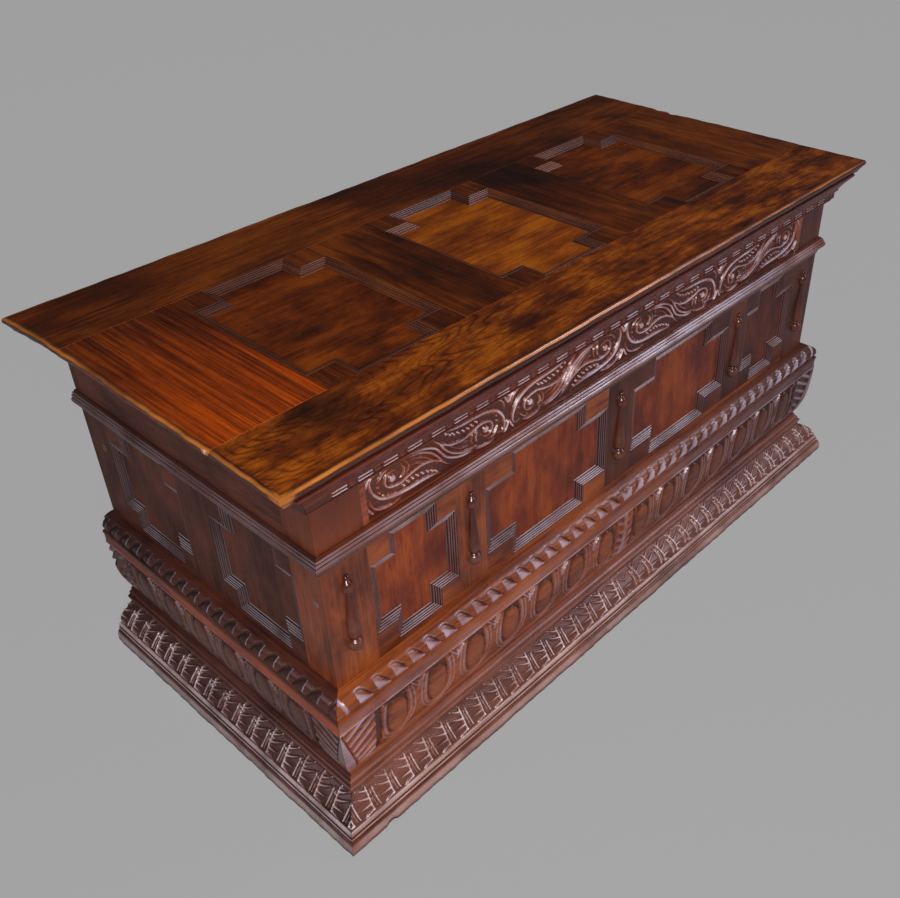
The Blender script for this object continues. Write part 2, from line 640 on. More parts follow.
def friezeTile():
    # A unit is one scroll round an eye, and the same again half a turn on, with a stem between them
    width = frieze["unit"]
    depth = frieze["height"]
    tile = blankTile(width, depth, frieze["step"] * 0.6)
    for turned in (False, True):
        for thickness, height, points in friezeStrokes:
            raiseRidge(tile, onUnit(points, turned), thickness, height)
        for u, v in onUnit(friezeBeads, turned):
            raiseSpot(tile, u, v, *frieze["bead"])
        for u, v in onUnit(friezeSmallBeads, turned):
            raiseSpot(tile, u, v, *frieze["smallBead"])
        raiseSpot(tile, *onUnit(friezeEye, turned), *frieze["eye"])
    raiseRidge(tile, onUnit(friezeStem, False), *frieze["stem"])
    # Ties between neighbouring units, halved by each end of the tile
    for along, facing in ((0, 1), (width, -1)):
        for bottom in (False, True):
            points = [(along + facing * a, depth - b if bottom else b) for a, b in friezeTie]
            raiseRidge(tile, points, *frieze["tie"])
    return tile


def friezePiece():
    foot = frieze["foot"]
    ceiling = foot + frieze["height"]
    low, high = frieze["plainRows"]
    carvedRows = np.arange(foot - 2, ceiling + 2, frieze["step"])
    v = np.concatenate([[chest["wallTop"], low], carvedRows, [high, chest["top"]]])
    rows = {"w": np.zeros(len(v)), "v": v, "depth": ceiling - v, "part": np.full(len(v), "")}
    section = closeSection(rows, -chest["frameThickness"])
    half = 2 * frieze["unit"]
    end = postEdge - chest["gap"] / 2
    columns = np.concatenate([[-end], np.arange(-half, half, frieze["step"]), [half, end]])

    u = columns[None, :]
    down = np.broadcast_to(section["depth"][:, None], (len(section["depth"]), len(columns)))
    along = np.broadcast_to(foldBack(u + half, frieze["unit"]), down.shape)
    carving = readTile(friezeTile(), along, np.clip(down, 0, frieze["height"]))
    toolMarks = frieze["roughCut"] * np.sin(u * 0.9 + down * 1.3) * np.sin(u * 0.23 - down * 0.61)
    edge = np.clip((half - np.abs(u)) / frieze["edge"], 0, 1)
    lifted = -frieze["depth"] * edge + np.maximum(carving, toolMarks * (carving < 0.4)) * edge
    carved = (np.abs(u) < half - 1) & (down > 0) & (down < frieze["height"])
    height = np.where(carved & (section["w"][:, None] > -1), lifted, 0)
    # The wear is softer at the near end
    contrast = np.interp(columns, [-500, 100], [0.8, 1.0])[None, :]
    shade = 0.5 + contrast * (np.clip(1 + height / frieze["depth"], 0, 1) - 0.5)
    shade = np.where(carved, shade, 0.5)
    names = ("frieze", "carcass", "frieze_rail_front", "frame_oak")
    sweepPiece(names, "front", section, columns, height, shade, [oak("carvedOak", "x")], None, (-end, end))


# Cornice: a cyma, with short billets carved along its lower band at the front

cornice = {
    "foot": 600.5,
    "height": 51.0,
    "projection": 35.0,
    "frontStep": 1.6,
    "endStep": 12.0,
    "billetBand": 13.8,
    "billetPitch": 42.5,
    "billetLength": 27.0,
    "billetFirst": 28.0,
    "billetDepth": 2.6,
    "billetEnd": 1.6,
    "ridges": (0.3, 0.66),  # shares of the band from its top
    "ridgeWidth": 0.13,
    "ground": 0.4,  # share of the relief that is cut below the plain face
    "beadRadius": 5.6,
}
corniceParts = [
    {"shares": [[0.24, 0], [0.24, 0.09], [0.34, 0.1]], "step": 3},
    {"name": "billets", "shares": [[0.34, 0.1], [0.34, 0.37]], "step": 0.9},
    {"shares": [[0.34, 0.37], [0.46, 0.38], [0.46, 0.44]], "step": 3},
    {"shares": [[0.46, 0.44], [0.53, 0.53], [0.65, 0.65], [0.8, 0.77], [0.93, 0.87], [1, 0.93]],
     "curved": True, "step": 1.5},
    {"shares": [[1, 0.93], [1, 1]], "step": 3},
]


def billetRelief(section, fromFirst, along):
    # Each billet is two thin ridges, and a bead lies between neighbouring billets
    depth = section["depth"][:, None]
    across = depth / cornice["billetBand"]
    started = fromFirst > 0
    body = np.clip(np.minimum(along, cornice["billetLength"] - along) / cornice["billetEnd"], 0, 1)
    ridges = sum(np.exp(-((across - at) / cornice["ridgeWidth"]) ** 2) for at in cornice["ridges"])
    billet = np.where((along < cornice["billetLength"]) & started, body * ridges, 0)
    beadAt = 0.5 * (cornice["billetLength"] + cornice["billetPitch"])
    fromBead = np.hypot(along - beadAt, depth - 0.5 * cornice["billetBand"])
    bead = np.sqrt(np.clip(1 - (fromBead / cornice["beadRadius"]) ** 2, 0, 1)) * started
    band = (section["part"] == "billets")[:, None]
    return np.where(band, (np.maximum(billet, bead) - cornice["ground"]) * cornice["billetDepth"], 0)


def cornicePiece(side):
    section = mouldingSection(corniceParts, cornice)
    step = cornice["frontStep"] if side == "front" else cornice["endStep"]
    columns = mitredColumns(side, cornice["projection"], step)
    fromFirst = fromCorner(side, columns)[None, :] - cornice["billetFirst"]
    along = np.mod(fromFirst, cornice["billetPitch"])
    height = np.zeros((len(section["w"]), len(columns)))
    woodsHere = [oak("corniceOak", "y")]
    partWoods = None
    if side == "front":
        height = billetRelief(section, fromFirst, along)
        woodsHere = [oak("corniceOak", "x"), oak("billetOak", "x")]
        partWoods = {"billets": 1}
    # Only the billets are worn pale: the beads between them keep their colour
    worn = np.clip(0.3 + 1.15 * height / cornice["billetDepth"], 0.1, 1)
    worn = np.where(along < cornice["billetLength"], worn, np.minimum(worn, 0.5))
    shade = np.where((section["part"] == "billets")[:, None], worn, 0.5)
    names = (f"cornice_{side}_moulding", "carcass", f"cornice_{side}", "carved_oak")
    sweepPiece(names, side, section, columns, height, shade, woodsHere, partWoods)


# Waist: three beads that step back up to the frieze, over a cove

waist = {
    "foot": chest["wallTop"],
    "height": 34.0,
    "projection": 12.0,
    "step": 8.0,
    "waver": 0.25,
    "waverPeriod": 190,
    "endWear": 0.6,
}
waistParts = [
    {"shares": [[0.1, 0], [0.14, 0.1], [0.28, 0.22], [0.5, 0.33], [0.74, 0.39]], "curved": True, "step": 1.2},
    {"name": "bead", "shares": [[0.78, 0.4], [0.93, 0.45], [1.0, 0.54], [0.96, 0.63], [0.82, 0.67]],
     "curved": True, "step": 0.7},
    {"name": "bead", "shares": [[0.68, 0.67], [0.8, 0.71], [0.81, 0.77], [0.74, 0.81], [0.62, 0.82]],
     "curved": True, "step": 0.7},
    {"name": "bead", "shares": [[0.5, 0.82], [0.62, 0.855], [0.61, 0.9], [0.5, 0.93], [0.38, 0.935]],
     "curved": True, "step": 0.7},
    {"shares": [[0.32, 0.94], [0.34, 0.955], [0.34, 0.98], [0.3, 1.0]], "step": 1.0},
]


def waistPiece(side):
    section = mouldingSection(waistParts, waist)
    columns = mitredColumns(side, waist["projection"], waist["step"])
    w = section["w"]
    v = section["v"]
    waver = wavering(columns[None, :] + v[:, None] * 3, waist["waverPeriod"], 4)
    height = waist["waver"] * waver * (w[:, None] > 2)
    # Crests of the beads are worn pale, most of all right of the middle, and the hollows between hold dirt
    crest = np.gradient(np.gradient(w + 0.4 * v))
    worn = np.where(section["part"] == "bead", np.clip(0.6 - 2.2 * crest, 0.05, 1), 0.3)[:, None]
    share = waist["endWear"]
    if side == "front":
        share = np.interp(columns, [-650, -250, 100, 480, 560, 650], [0.35, 0.5, 1.0, 1.0, 0.5, 0.4])[None, :]
    shade = np.where(worn > 0.5, 0.5 + (worn - 0.5) * share, worn) * np.ones_like(height)
    wood = oak("waistOak", "x") if side == "front" else oak("waistEndOak", "y")
    names = (f"waist_{side}_moulding", "carcass", f"waist_moulding_{side}", "carved_oak")
    sweepPiece(names, side, section, columns, height, shade, [wood])


# Plinth: a scaled half-round over a deep ovolo carved with eggs, darts and leaves

plinth = {
    "foot": 100.3,
    "height": 176.0,
    "projection": 28.5,
    "step": 1.9,
    "scalePitch": 34.0,
    "scaleFirst": 10.0,
    "scaleDepth": 5.5,
    "carvingDepth": 6.0,
    "eggPitch": 84.0,
    "eggHalf": 21.0,
    "eggTop": 16.0,
    "eggFoot": 96.0,
    "frontEggFirst": 52.0,
    "endEggFirst": 82.0,
    "rims": ((6.4, 5.4, 0.74), (14.4, 2.9, 0.8)),  # way out from the egg, half width and share proud
}
dart = {
    "stemTop": 14.0,
    "stemFoot": 40.0,
    "stemWidth": 2.4,
    "petalTop": 7.0,
    "petalRoot": 24.0,
    "petalFoot": 26.0,
    "petalWidth": 2.6,
    "petalLean": 0.8,
    "proud": 1.15,
}
leaf = {
    "ribPitch": 20.0,
    "climb": 0.57,
    "scallop": 6.0,
    "half": 31.0,
    "spread": 27.0,
    "stem": 3.2,
    "stemGrowth": 3.0,
    "cornerHalf": 51.0,
    "cornerSpread": 74.0,
    "lobe": 4.0,
    "lobeGrowth": 34.0,
    "backHalf": 68.0,
    "backShift": 16.0,
}
plinthParts = [
    {"shares": [[0.3, 0], [0.3, 0.045]], "step": 4},
    {"name": "ovolo", "shares": [[0.3, 0.045], [0.46, 0.075], [0.63, 0.15], [0.76, 0.215], [0.86, 0.3],
                                 [0.94, 0.42], [0.99, 0.58], [1, 0.7]], "curved": True, "step": 1.7},
    {"name": "fillet", "shares": [[1, 0.7], [0.965, 0.71], [0.965, 0.795], [1, 0.8]], "step": 2.5},
    {"shares": [[1, 0.8], [1.02, 0.815], [1, 0.835], [0.86, 0.84]], "step": 1.5},
    {"name": "torus", "shares": [[0.86, 0.84], [0.96, 0.87], [0.97, 0.9], [0.88, 0.945], [0.68, 0.975],
                                 [0.44, 0.992], [0.2, 1]], "curved": True, "step": 1.3},
]


def scaleRelief(side, u, section):
    # Overlapping scales: a scoop dives away from the near corner and stops at a steep arched wall. Gives the
    # height, and the share of each scoop's pale rim.
    down = section["depth"][:, None] / section["lengths"]["torus"]
    s = fromCorner(side, u) - plinth["scaleFirst"]
    x = np.mod(s, plinth["scalePitch"]) / plinth["scalePitch"]
    arch = 0.24 + 0.07 * np.clip(1 - x / 0.25, 0, 1) ** 2 + 0.7 * np.clip((x - 0.35) / 0.6, 0, 1) ** 1.5
    start = 0.05 + 0.14 * np.clip((down - 0.35) / 0.6, 0, 1) ** 1.5
    inside = np.clip((down - arch) / 0.06, 0, 1) * np.clip((x - start) / 0.04, 0, 1)
    dive = 0.5 + 0.5 * np.clip((x - start) / 0.6, 0, 1)
    lean = 1 - 0.9 * np.clip((down - arch) / np.maximum(0.98 - arch, 0.1), 0, 1)
    scoop = inside * dive * lean * (s > 0)
    corner = 0.35 * np.exp(-((fromCorner(side, u) + 16 - 9 * down) / 2.2) ** 2) * (down > 0.15)
    margin = np.clip((1 - down) / 0.05, 0, 1)
    rim = np.clip(1.4 - (x - start) / 0.13, 0, 1) * (x > start) * (down > arch) * (down < 0.9) * (s > 0)
    torus = (section["part"] == "torus")[:, None]
    return -plinth["scaleDepth"] * (scoop + corner) * margin * torus, rim * torus


def eggHeight(offset, d):
    # Height of an egg in its rims, how far beyond the egg's side a point lies, and how deep inside the egg
    rise = plinth["carvingDepth"]
    half = plinth["eggHalf"]
    middle = 0.5 * (plinth["eggTop"] + plinth["eggFoot"])
    long = plinth["eggFoot"] - middle
    lower = np.clip(d - middle, 0, None)
    upper = np.clip(middle - d, 0, None)
    narrow = half * (1 - 0.2 * (upper / long) ** 2)
    ratio = np.maximum(np.hypot(offset / half, lower / long), 1e-3)
    beyond = np.where(d > middle, np.hypot(offset, lower) * (1 - 1 / ratio), offset - narrow)
    capped = np.hypot(offset / narrow, np.clip(d - middle + 0.35 * long, None, 0) / (0.65 * long))
    inner = np.where(d > middle, beyond, (capped - 1) * half)
    inside = np.where(inner < 0, np.clip(-inner / half, 0, 1), -1)
    height = rise * np.sqrt(1 - (1 - np.clip(inside, 0, 1)) ** 2.4)
    openTop = np.clip((d - 9 - 0.2 * beyond) / 5, 0, 1)
    for out, rimHalf, proud in plinth["rims"]:
        bead = np.clip(1 - ((beyond - out) / rimHalf) ** 2, 0, 1) ** 0.4
        height = np.maximum(height, rise * proud * bead * openTop)
    return height, beyond, inside


def dartHeight(between, d):
    # A stem with two petals, above the meeting of two eggs
    hanging = np.clip((dart["stemFoot"] - d) / 12, 0, 1) * (d > dart["stemTop"])
    stem = np.clip(1.4 - between / dart["stemWidth"], 0, 1) * hanging
    bend = np.abs(between - np.clip(dart["petalRoot"] - d, 0, 30) * dart["petalLean"])
    onPetal = (d > dart["petalTop"]) & (d < dart["petalFoot"])
    petal = np.clip(1.4 - bend / dart["petalWidth"], 0, 1) * onPetal
    return plinth["carvingDepth"] * dart["proud"] * np.maximum(stem, petal)


def leafRibs(away, d):
    # Narrow ribs that climb as they leave the stem, with a scalloped outline
    climb = (d + leaf["climb"] * away) / leaf["ribPitch"]
    wave = np.abs(np.sin(math.pi * climb))
    return wave ** 2.2, leaf["scallop"] * wave


def middleLeaf(away, d, total):
    ribs, scallop = leafRibs(away, d)
    spread = leaf["spread"] - scallop
    stem = leaf["stem"] + leaf["stemGrowth"] * d / total
    ribbed = (0.25 + 0.6 * ribs) * np.clip((spread - away) / 3 + 1, 0, 1)
    return plinth["carvingDepth"] * np.where(away < stem, 0.95, ribbed)


def cornerLeaf(away, d, total):
    # Half a leaf: a smooth lobe that widens down the arris, and ribs that climb from its edge
    lobe = leaf["lobe"] + leaf["lobeGrowth"] * np.clip((d - 8) / total, 0, 1)
    ribs, scallop = leafRibs(away, d)
    spread = leaf["cornerSpread"] - scallop
    ribbed = (0.2 + 0.75 * ribs) * np.clip((spread - away) / 3, 0, 1) * np.clip((away - lobe) / 2, 0, 1)
    smooth = np.clip((lobe - away) / 2.5, 0, 1) ** 0.5
    return plinth["carvingDepth"] * np.maximum(ribbed, smooth * 0.95)


def eggRelief(side, u, section):
    # A row of eggs and darts that stops at leaves. Gives the height, and how deep inside an egg a point lies.
    d = section["depth"][:, None]
    s = fromCorner(side, u)
    total = section["lengths"]["ovolo"]
    rise = plinth["carvingDepth"]
    pitch = plinth["eggPitch"]
    away = np.abs(u) if side == "front" else s
    first = plinth["frontEggFirst"] if side == "front" else plinth["endEggFirst"]
    offset = np.abs(np.mod(away - first + pitch / 2, pitch) - pitch / 2)
    height, beyond, inside = eggHeight(offset, d)
    height = np.maximum(height, dartHeight(pitch / 2 - offset, d))
    height = np.maximum(height, rise * 0.5 * (beyond > 15) * np.clip(d / 20, 0, 1))
    if side == "front":
        height = np.where(away < leaf["half"], middleLeaf(away, d, total), height)
    height = np.where(s < leaf["cornerHalf"], cornerLeaf(s + plinth["projection"], d, total), height)
    if side != "front":
        fromBack = chest["backY"] - u
        atBack = cornerLeaf(fromBack + leaf["backShift"], d, total)
        height = np.where(fromBack < leaf["backHalf"], atBack, height)
    fade = np.clip((total - d) / 6, 0, 1) * np.clip((d - 4) / 3, 0, 1)
    ovolo = (section["part"] == "ovolo")[:, None]
    onEgg = (away > first - pitch / 2) & (s > leaf["cornerHalf"]) & ovolo
    return (height - rise) * fade * ovolo, np.where(onEgg, inside, -1)


def plinthPiece(side):
    section = mouldingSection(plinthParts, plinth)
    columns = mitredColumns(side, plinth["projection"], plinth["step"])
    eggs, insideEgg = eggRelief(side, columns[None, :], section)
    scales, rims = scaleRelief(side, columns[None, :], section)
    height = eggs + scales
    # Middles of the eggs and plain bands keep their red-brown; ribs and rims are worn pale, and the scoops
    # are pale where they start and dark where they end
    egg = np.interp(insideEgg, [0, 0.1, 0.3], [0.0, 0.25, 0.52])
    ovolo = np.where(insideEgg >= 0, egg, np.clip(1 + height / plinth["carvingDepth"], 0, 1))
    scoop = np.clip(-scales / plinth["scaleDepth"], 0, 1)
    if side == "front":
        torus = np.interp(scoop, [0, 0.02, 0.08, 0.4, 0.62, 1], [0.5, 0.52, 1.0, 0.85, 0.2, 0.05])
        fillet = 0.62
        woodsHere = [oak("plinthOak", "x"), oak("torusOak", "x"), oak("plinthOak", "x")]
    else:
        torus = np.maximum(np.interp(scoop, [0, 0.05, 0.2, 1], [0.5, 0.45, 0.2, 0.05]), rims)
        fillet = 0.5
        woodsHere = [oak("plinthEndOak", "y"), oak("torusEndOak", "y"), oak("filletEndOak", "y")]
    part = section["part"][:, None]
    plain = np.where(part == "fillet", fillet, 0.5)
    shade = np.where(part == "ovolo", ovolo, np.where(part == "torus", torus, plain))
    names = (f"plinth_{side}_carving", "carcass", f"plinth_{side}", "carved_oak")
    sweepPiece(names, side, section, columns, height, shade, woodsHere, {"torus": 1, "fillet": 2})


# Base: a sloping band of short arcs and fingered gouge cuts, over a worn rounded foot

base = {
    "foot": 0.0,
    "height": 100.0,
    "projection": 61.7,
    "step": 1.4,
    "pitch": 40.5,
    "first": 10.0,
    "depth": 4.4,
    "tileStep": 0.5,
    "taper": 0.12,
    "wear": 1.6,
    "wearPeriod": 210,
    "wornHeight": 34.0,
    "wornReach": 40.0,
    "dent": 1.8,
    "dentPeriod": 37,
    "chipAt": -619.0,
    "chipWidth": 9.0,
    "chipDepth": 6.0,
}
baseParts = [
    {"name": "foot", "shares": [[0.97, 0], [1, 0.025], [1, 0.08], [0.99, 0.15], [0.965, 0.2], [0.93, 0.24],
                                [0.9, 0.255]], "curved": True, "step": 2.0},
    {"name": "foot", "shares": [[0.9, 0.255], [0.892, 0.252], [0.888, 0.262], [0.888, 0.285], [0.882, 0.3],
                                [0.872, 0.31], [0.86, 0.305], [0.856, 0.315], [0.856, 0.335], [0.848, 0.362],
                                [0.83, 0.378], [0.82, 0.38]], "step": 2.0},
    {"name": "band", "shares": [[0.82, 0.38], [0.78, 0.47], [0.68, 0.57], [0.52, 0.66], [0.36, 0.73],
                                [0.31, 0.77]], "curved": True, "step": 1.1},
    {"shares": [[0.31, 0.77], [0.31, 0.81], [0.34, 0.825], [0.345, 0.845], [0.34, 0.86], [0.31, 0.875],
                [0.27, 0.875], [0.27, 0.93], [0.24, 0.945], [0.19, 0.95], [0.19, 1]], "step": 6.0},
]
# The motif, drawn on a band 52 wide and measured away from the corner: arcs, a spine and its four fingers
baseDrawn = 52
baseArc = [(3.4, 9), (1.2, 20), (0.6, 31), (1.4, 40), (3.4, 47)]
baseArcs = ((0.0, 4.6, 4.8), (-5.0, 3.4, 3.6))  # place along the band, width and height
baseSpine = [(-5.0, 3), (-7.5, 11), (-9.8, 22), (-11.6, 32), (-11.4, 41), (-8.5, 49)]
baseSizes = {"spine": (4.8, 4.9, None), "finger": (6.6, 5.0, 3.4)}  # width, height and width at the tip
baseFingers = (((-7.5, 12), (-22, 4)), ((-10, 24), (-32, 13)), ((-11.8, 34), (-33, 33)),
               ((-11, 44), (-27, 50)))
# How worn the foot is at each height: dark in its grooves and at the floor, pale on its rounds
footShades = [(0, 0.0), (2.5, 0.05), (6, 0.55), (12, 0.8), (20, 0.78), (25.5, 0.4), (25.9, 0.6), (28.6, 0.95),
              (30.2, 0.9), (30.9, 0.2), (31.4, 0.5), (35.9, 0.9), (37.9, 0.85), (39, 0.5), (60, 0.5)]


def motifStrokes():
    # Each stroke of the motif, with its points and sizes
    strokes = [([(a + back, b) for a, b in baseArc], (width, rise, None)) for back, width, rise in baseArcs]
    strokes.append((baseSpine, baseSizes["spine"]))
    for root, tip in baseFingers:
        middle = ((root[0] + tip[0]) / 2, 0.62 * root[1] + 0.38 * tip[1])
        strokes.append(([root, middle, tip], baseSizes["finger"]))
    return strokes


def baseTile(length):
    pitch = base["pitch"]
    tile = blankTile(pitch, length, base["tileStep"])
    for shift in (-pitch, 0, pitch, 2 * pitch):
        for points, (width, height, tip) in motifStrokes():
            placed = [(shift + a, b * length / baseDrawn) for a, b in points]
            raiseRidge(tile, placed, width, height, base["taper"], tip, True)
    return tile


def basePiece(side):
    section = mouldingSection(baseParts, base)
    columns = mitredColumns(side, base["projection"], base["step"])
    length = section["lengths"]["band"]
    band = (section["part"] == "band")[:, None]
    u = columns[None, :]
    v = section["v"][:, None]
    down = np.broadcast_to(section["depth"][:, None], (len(section["depth"]), len(columns)))
    along = np.mod(np.broadcast_to(fromCorner(side, u), down.shape) - base["first"], base["pitch"])
    carving = readTile(baseTile(length), along, down)
    fade = np.clip(np.minimum(down, length - down) / 2, 0, 1)
    carved = np.where(band, (carving - base["depth"]) * fade, 0)
    low = np.clip(1 - v / base["wornHeight"], 0, 1)
    outward = section["w"][:, None] > base["wornReach"]
    worn = -base["wear"] * low * (0.5 + 0.5 * wavering(u, base["wearPeriod"], 2)) * outward
    dents = -base["dent"] * low * np.clip(wavering(u + 40, base["dentPeriod"], 5) - 0.72, 0, 1)
    if side == "front":
        chip = np.exp(-((u - base["chipAt"]) / base["chipWidth"]) ** 4) * np.clip(2 * low - 1, 0, 1)
        dents = dents - base["chipDepth"] * chip
    height = carved + worn + dents
    plain = np.broadcast_to(np.interp(v, *zip(*footShades)), height.shape)
    shade = np.where(band, np.clip(1 + height / base["depth"], 0, 1) ** 0.7, plain)
    woodsHere = [oak("baseEndOak", "y")]
    partWoods = None
    if side == "front":
        woodsHere = [oak("baseOak", "x"), oak("footOak", "x")]
        partWoods = {"foot": 1}
    names = (f"base_{side}_carving", "carcass", f"base_moulding_{side}", "base_oak")
    sweepPiece(names, side, section, columns, height, shade, woodsHere, partWoods)


# Panels: a reeded moulding, mitred round twelve corners, steps down from flush corner blocks to a flat field

panelSizes = {
    "rim": 1.0,
    "field": 9.0,
    "waver": 0.075,
    "wallStepHeight": 37.0,
    "narrowStepWidth": 38.0,
    "wideStepWidth": 58.0,
    "endStepWidth": 34.0,
    "wallMoulding": 16.0,
    "wallDepth": 9.0,
    "lidStepWidth": 50.0,
    "lidStepHeight": 46.0,
    "lidMoulding": 17.0,
    "lidDepth": 10.0,
}
# Shares of the moulding's width inwards and of its depth down, one reed or quirk per row
reeds = [
    [[0.0, 0.0], [0.01, 0.2], [0.02, 0.12]],
    [[0.02, 0.12], [0.05, 0.03], [0.11, 0.02], [0.17, 0.08], [0.2, 0.2]],
    [[0.2, 0.2], [0.205, 0.34], [0.22, 0.27]],
    [[0.22, 0.27], [0.26, 0.2], [0.32, 0.19], [0.38, 0.25], [0.41, 0.36]],
    [[0.41, 0.36], [0.415, 0.5], [0.43, 0.44]],
    [[0.43, 0.44], [0.47, 0.37], [0.53, 0.36], [0.59, 0.42], [0.62, 0.52]],
    [[0.62, 0.52], [0.625, 0.66], [0.64, 0.6]],
    [[0.64, 0.6], [0.68, 0.54], [0.74, 0.53], [0.8, 0.59], [0.83, 0.69]],
    [[0.83, 0.69], [0.84, 0.82], [0.87, 0.84]],
    [[0.87, 0.84], [0.93, 0.86], [0.98, 0.93], [1.0, 1.0]],
]


def reedLine():
    # Points across the moulding, and how near each one lies to the crest of its reed
    line = [reeds[0][0]]
    crests = [0.0]
    for row in reeds:
        isReed = len(row) > 3
        stretch = smoothLine(row, 0.045) if isReed else np.array(row)
        line.extend(stretch[1:])
        rise = np.sin(math.pi * np.linspace(0, 1, len(stretch))) if isReed else np.zeros(len(stretch))
        crests.extend(rise[1:])
    return np.array(line), np.array(crests)


def steppedOutline(u, v, stepWidth, stepHeight, inset):
    low = np.array([u[0], v[0]]) + panelSizes["rim"] + inset
    high = np.array([u[1], v[1]]) - panelSizes["rim"] - inset
    a, b = stepWidth, stepHeight
    return np.array([
        (low[0] + a, low[1]), (high[0] - a, low[1]), (high[0] - a, low[1] + b), (high[0], low[1] + b),
        (high[0], high[1] - b), (high[0] - a, high[1] - b), (high[0] - a, high[1]), (low[0] + a, high[1]),
        (low[0] + a, high[1] - b), (low[0], high[1] - b), (low[0], low[1] + b), (low[0] + a, low[1] + b),
    ])


def frameFaces(outer, low, high):
    # Corner blocks, the narrow rims between them, and the outer edges, all flush with the frame
    faces = []
    blocks = ((0, 0, (0, 10, 11)), (1, 0, (1, 3, 2)), (1, 1, (6, 4, 5)), (0, 1, (7, 9, 8)))
    for cu, cv, (endU, endV, inner) in blocks:
        corner = (high[0] if cu else low[0], high[1] if cv else low[1])
        block = [corner, (outer[endU][0], corner[1]), outer[endU], outer[inner], outer[endV],
                 (corner[0], outer[endV][1])]
        faces.append(block if cu == cv else block[::-1])
    faces.append([(outer[0][0], low[1]), (outer[1][0], low[1]), outer[1], outer[0]])
    faces.append([outer[3], (high[0], outer[3][1]), (high[0], outer[4][1]), outer[4]])
    faces.append([outer[7], outer[6], (outer[6][0], high[1]), (outer[7][0], high[1])])
    faces.append([(low[0], outer[10][1]), outer[10], outer[9], (low[0], outer[9][1])])
    return [[(*point, 0) for point in face] for face in faces]


def mouldedPanel(names, place, u, v, sizes, woodsHere, seed, flip=False):
    # place(u, v, w) sets a point of the panel, with w 0 at the frame's face; sizes are the step's width and
    # height, and the moulding's width and depth.
    # Woods: 0 frame and edges, 1 moulding along u, 2 field, 3 back, 4 moulding along v.
    stepWidth, stepHeight, moulding, depth = sizes
    points = []
    faces = []
    faceWoods = []
    relief = []

    def addFace(corners, wood):
        faces.append(list(range(len(points), len(points) + len(corners))))
        points.extend(corners)
        relief.extend([0.5] * len(corners))
        faceWoods.append(wood)

    u = (u[0] + chest["gap"], u[1] - chest["gap"])
    v = (v[0] + chest["gap"], v[1] - chest["gap"])
    line, crests = reedLine()
    rings = [steppedOutline(u, v, stepWidth, stepHeight, inward * moulding) for inward in line[:, 0]]
    waver = panelSizes["waver"] * wavering(line[:, 0] * 10, 3.7, seed) * (line[:, 0] > 0.1)
    levels = waver - line[:, 1] * depth
    for run in range(12):
        start = len(points)
        for ring, level, crest in zip(rings, levels, crests):
            for corner in (ring[run], ring[(run + 1) % 12]):
                points.append((*corner, level))
                relief.append(0.2 + 0.8 * crest)
        for a in range(start, start + 2 * len(rings) - 2, 2):
            faces.append([a, a + 1, a + 3, a + 2])
            faceWoods.append(1 if run % 2 == 0 else 4)
    low = (u[0], v[0])
    high = (u[1], v[1])
    for face in frameFaces(rings[0], low, high):
        addFace(face, 0)
    # Field, in a cross of five rectangles
    inner = rings[-1]
    us = [inner[10][0], inner[11][0], inner[2][0], inner[3][0]]
    vs = [inner[0][1], inner[10][1], inner[9][1], inner[7][1]]
    level = levels[-1]
    for i, j in ((1, 0), (0, 1), (1, 1), (2, 1), (1, 2)):
        addFace([(us[i], vs[j], level), (us[i + 1], vs[j], level), (us[i + 1], vs[j + 1], level),
                 (us[i], vs[j + 1], level)], 2)
    # Edges and back
    rim = [low, (high[0], low[1]), high, (low[0], high[1])]
    back = -depth - panelSizes["field"]
    for a, b in zip(rim, rim[1:] + rim[:1]):
        addFace([(*a, back), (*b, back), (*b, 0), (*a, 0)], 0)
    addFace([(*point, back) for point in rim[::-1]], 3)
    if flip:
        faces = [face[::-1] for face in faces]
    finishPiece(names, place(*np.array(points, float).T), faces, woodsHere, relief, faceWoods, "moulding")


def wallPanels():
    v = (chest["wallFoot"], chest["wallTop"])
    inner = chest["muntinAt"] - chest["muntinHalf"]
    outer = chest["muntinAt"] + chest["muntinHalf"]
    middle = chest["centreMuntinHalf"]
    narrow = panelSizes["narrowStepWidth"]
    wide = panelSizes["wideStepWidth"]
    moulding = (panelSizes["wallStepHeight"], panelSizes["wallMoulding"], panelSizes["wallDepth"])
    front = [
        ((-postEdge, -outer), narrow, "frameOak", "panelOak"),
        ((-inner, -middle), wide, "frameOak", "panelOak"),
        ((middle, inner), wide, "shadedFrameOak", "panelOak"),
        ((outer, postEdge), narrow, "shadedFrameOak", "shadedPanelOak"),
    ]
    for number, (u, step, rim, field) in enumerate(front, 1):
        woodsHere = [oak(rim, "x"), oak("mouldingOak", "x"), oak(field, "z"), oak("insideOak", "z"),
                     oak("uprightMouldingOak", "z")]
        names = (f"front_panel_{number}_moulded", "carcass", f"panel_front_{number}", "panel_oak")
        mouldedPanel(names, frontAt, u, v, (step, *moulding), woodsHere, number)
    woodsHere = [oak("endOak", "y"), oak("endReedOak", "y"), oak("endOak", "z"), oak("insideOak", "z"),
                 oak("endMouldingOak", "z")]
    sizes = (panelSizes["endStepWidth"], *moulding)
    near, far = chest["endMuntin"]
    ends = (("front", (chest["frontY"] + chest["postDepth"], near)),
            ("back", (far, chest["backY"] - chest["postDepth"])))
    for side in ("left", "right"):
        for word, u in ends:
            names = (f"{side}_panel_{word}_moulded", "carcass", f"panel_{side}_{word}", "end_panel_oak")
            mouldedPanel(names, walls[side], u, v, sizes, woodsHere, len(word), side == "left")


# Split balusters: half turnings applied to the stiles and muntins

baluster = {"foot": 329.0, "height": 138.0, "radius": 12.5, "thinnest": 0.05, "step": 1.4, "segments": 20}
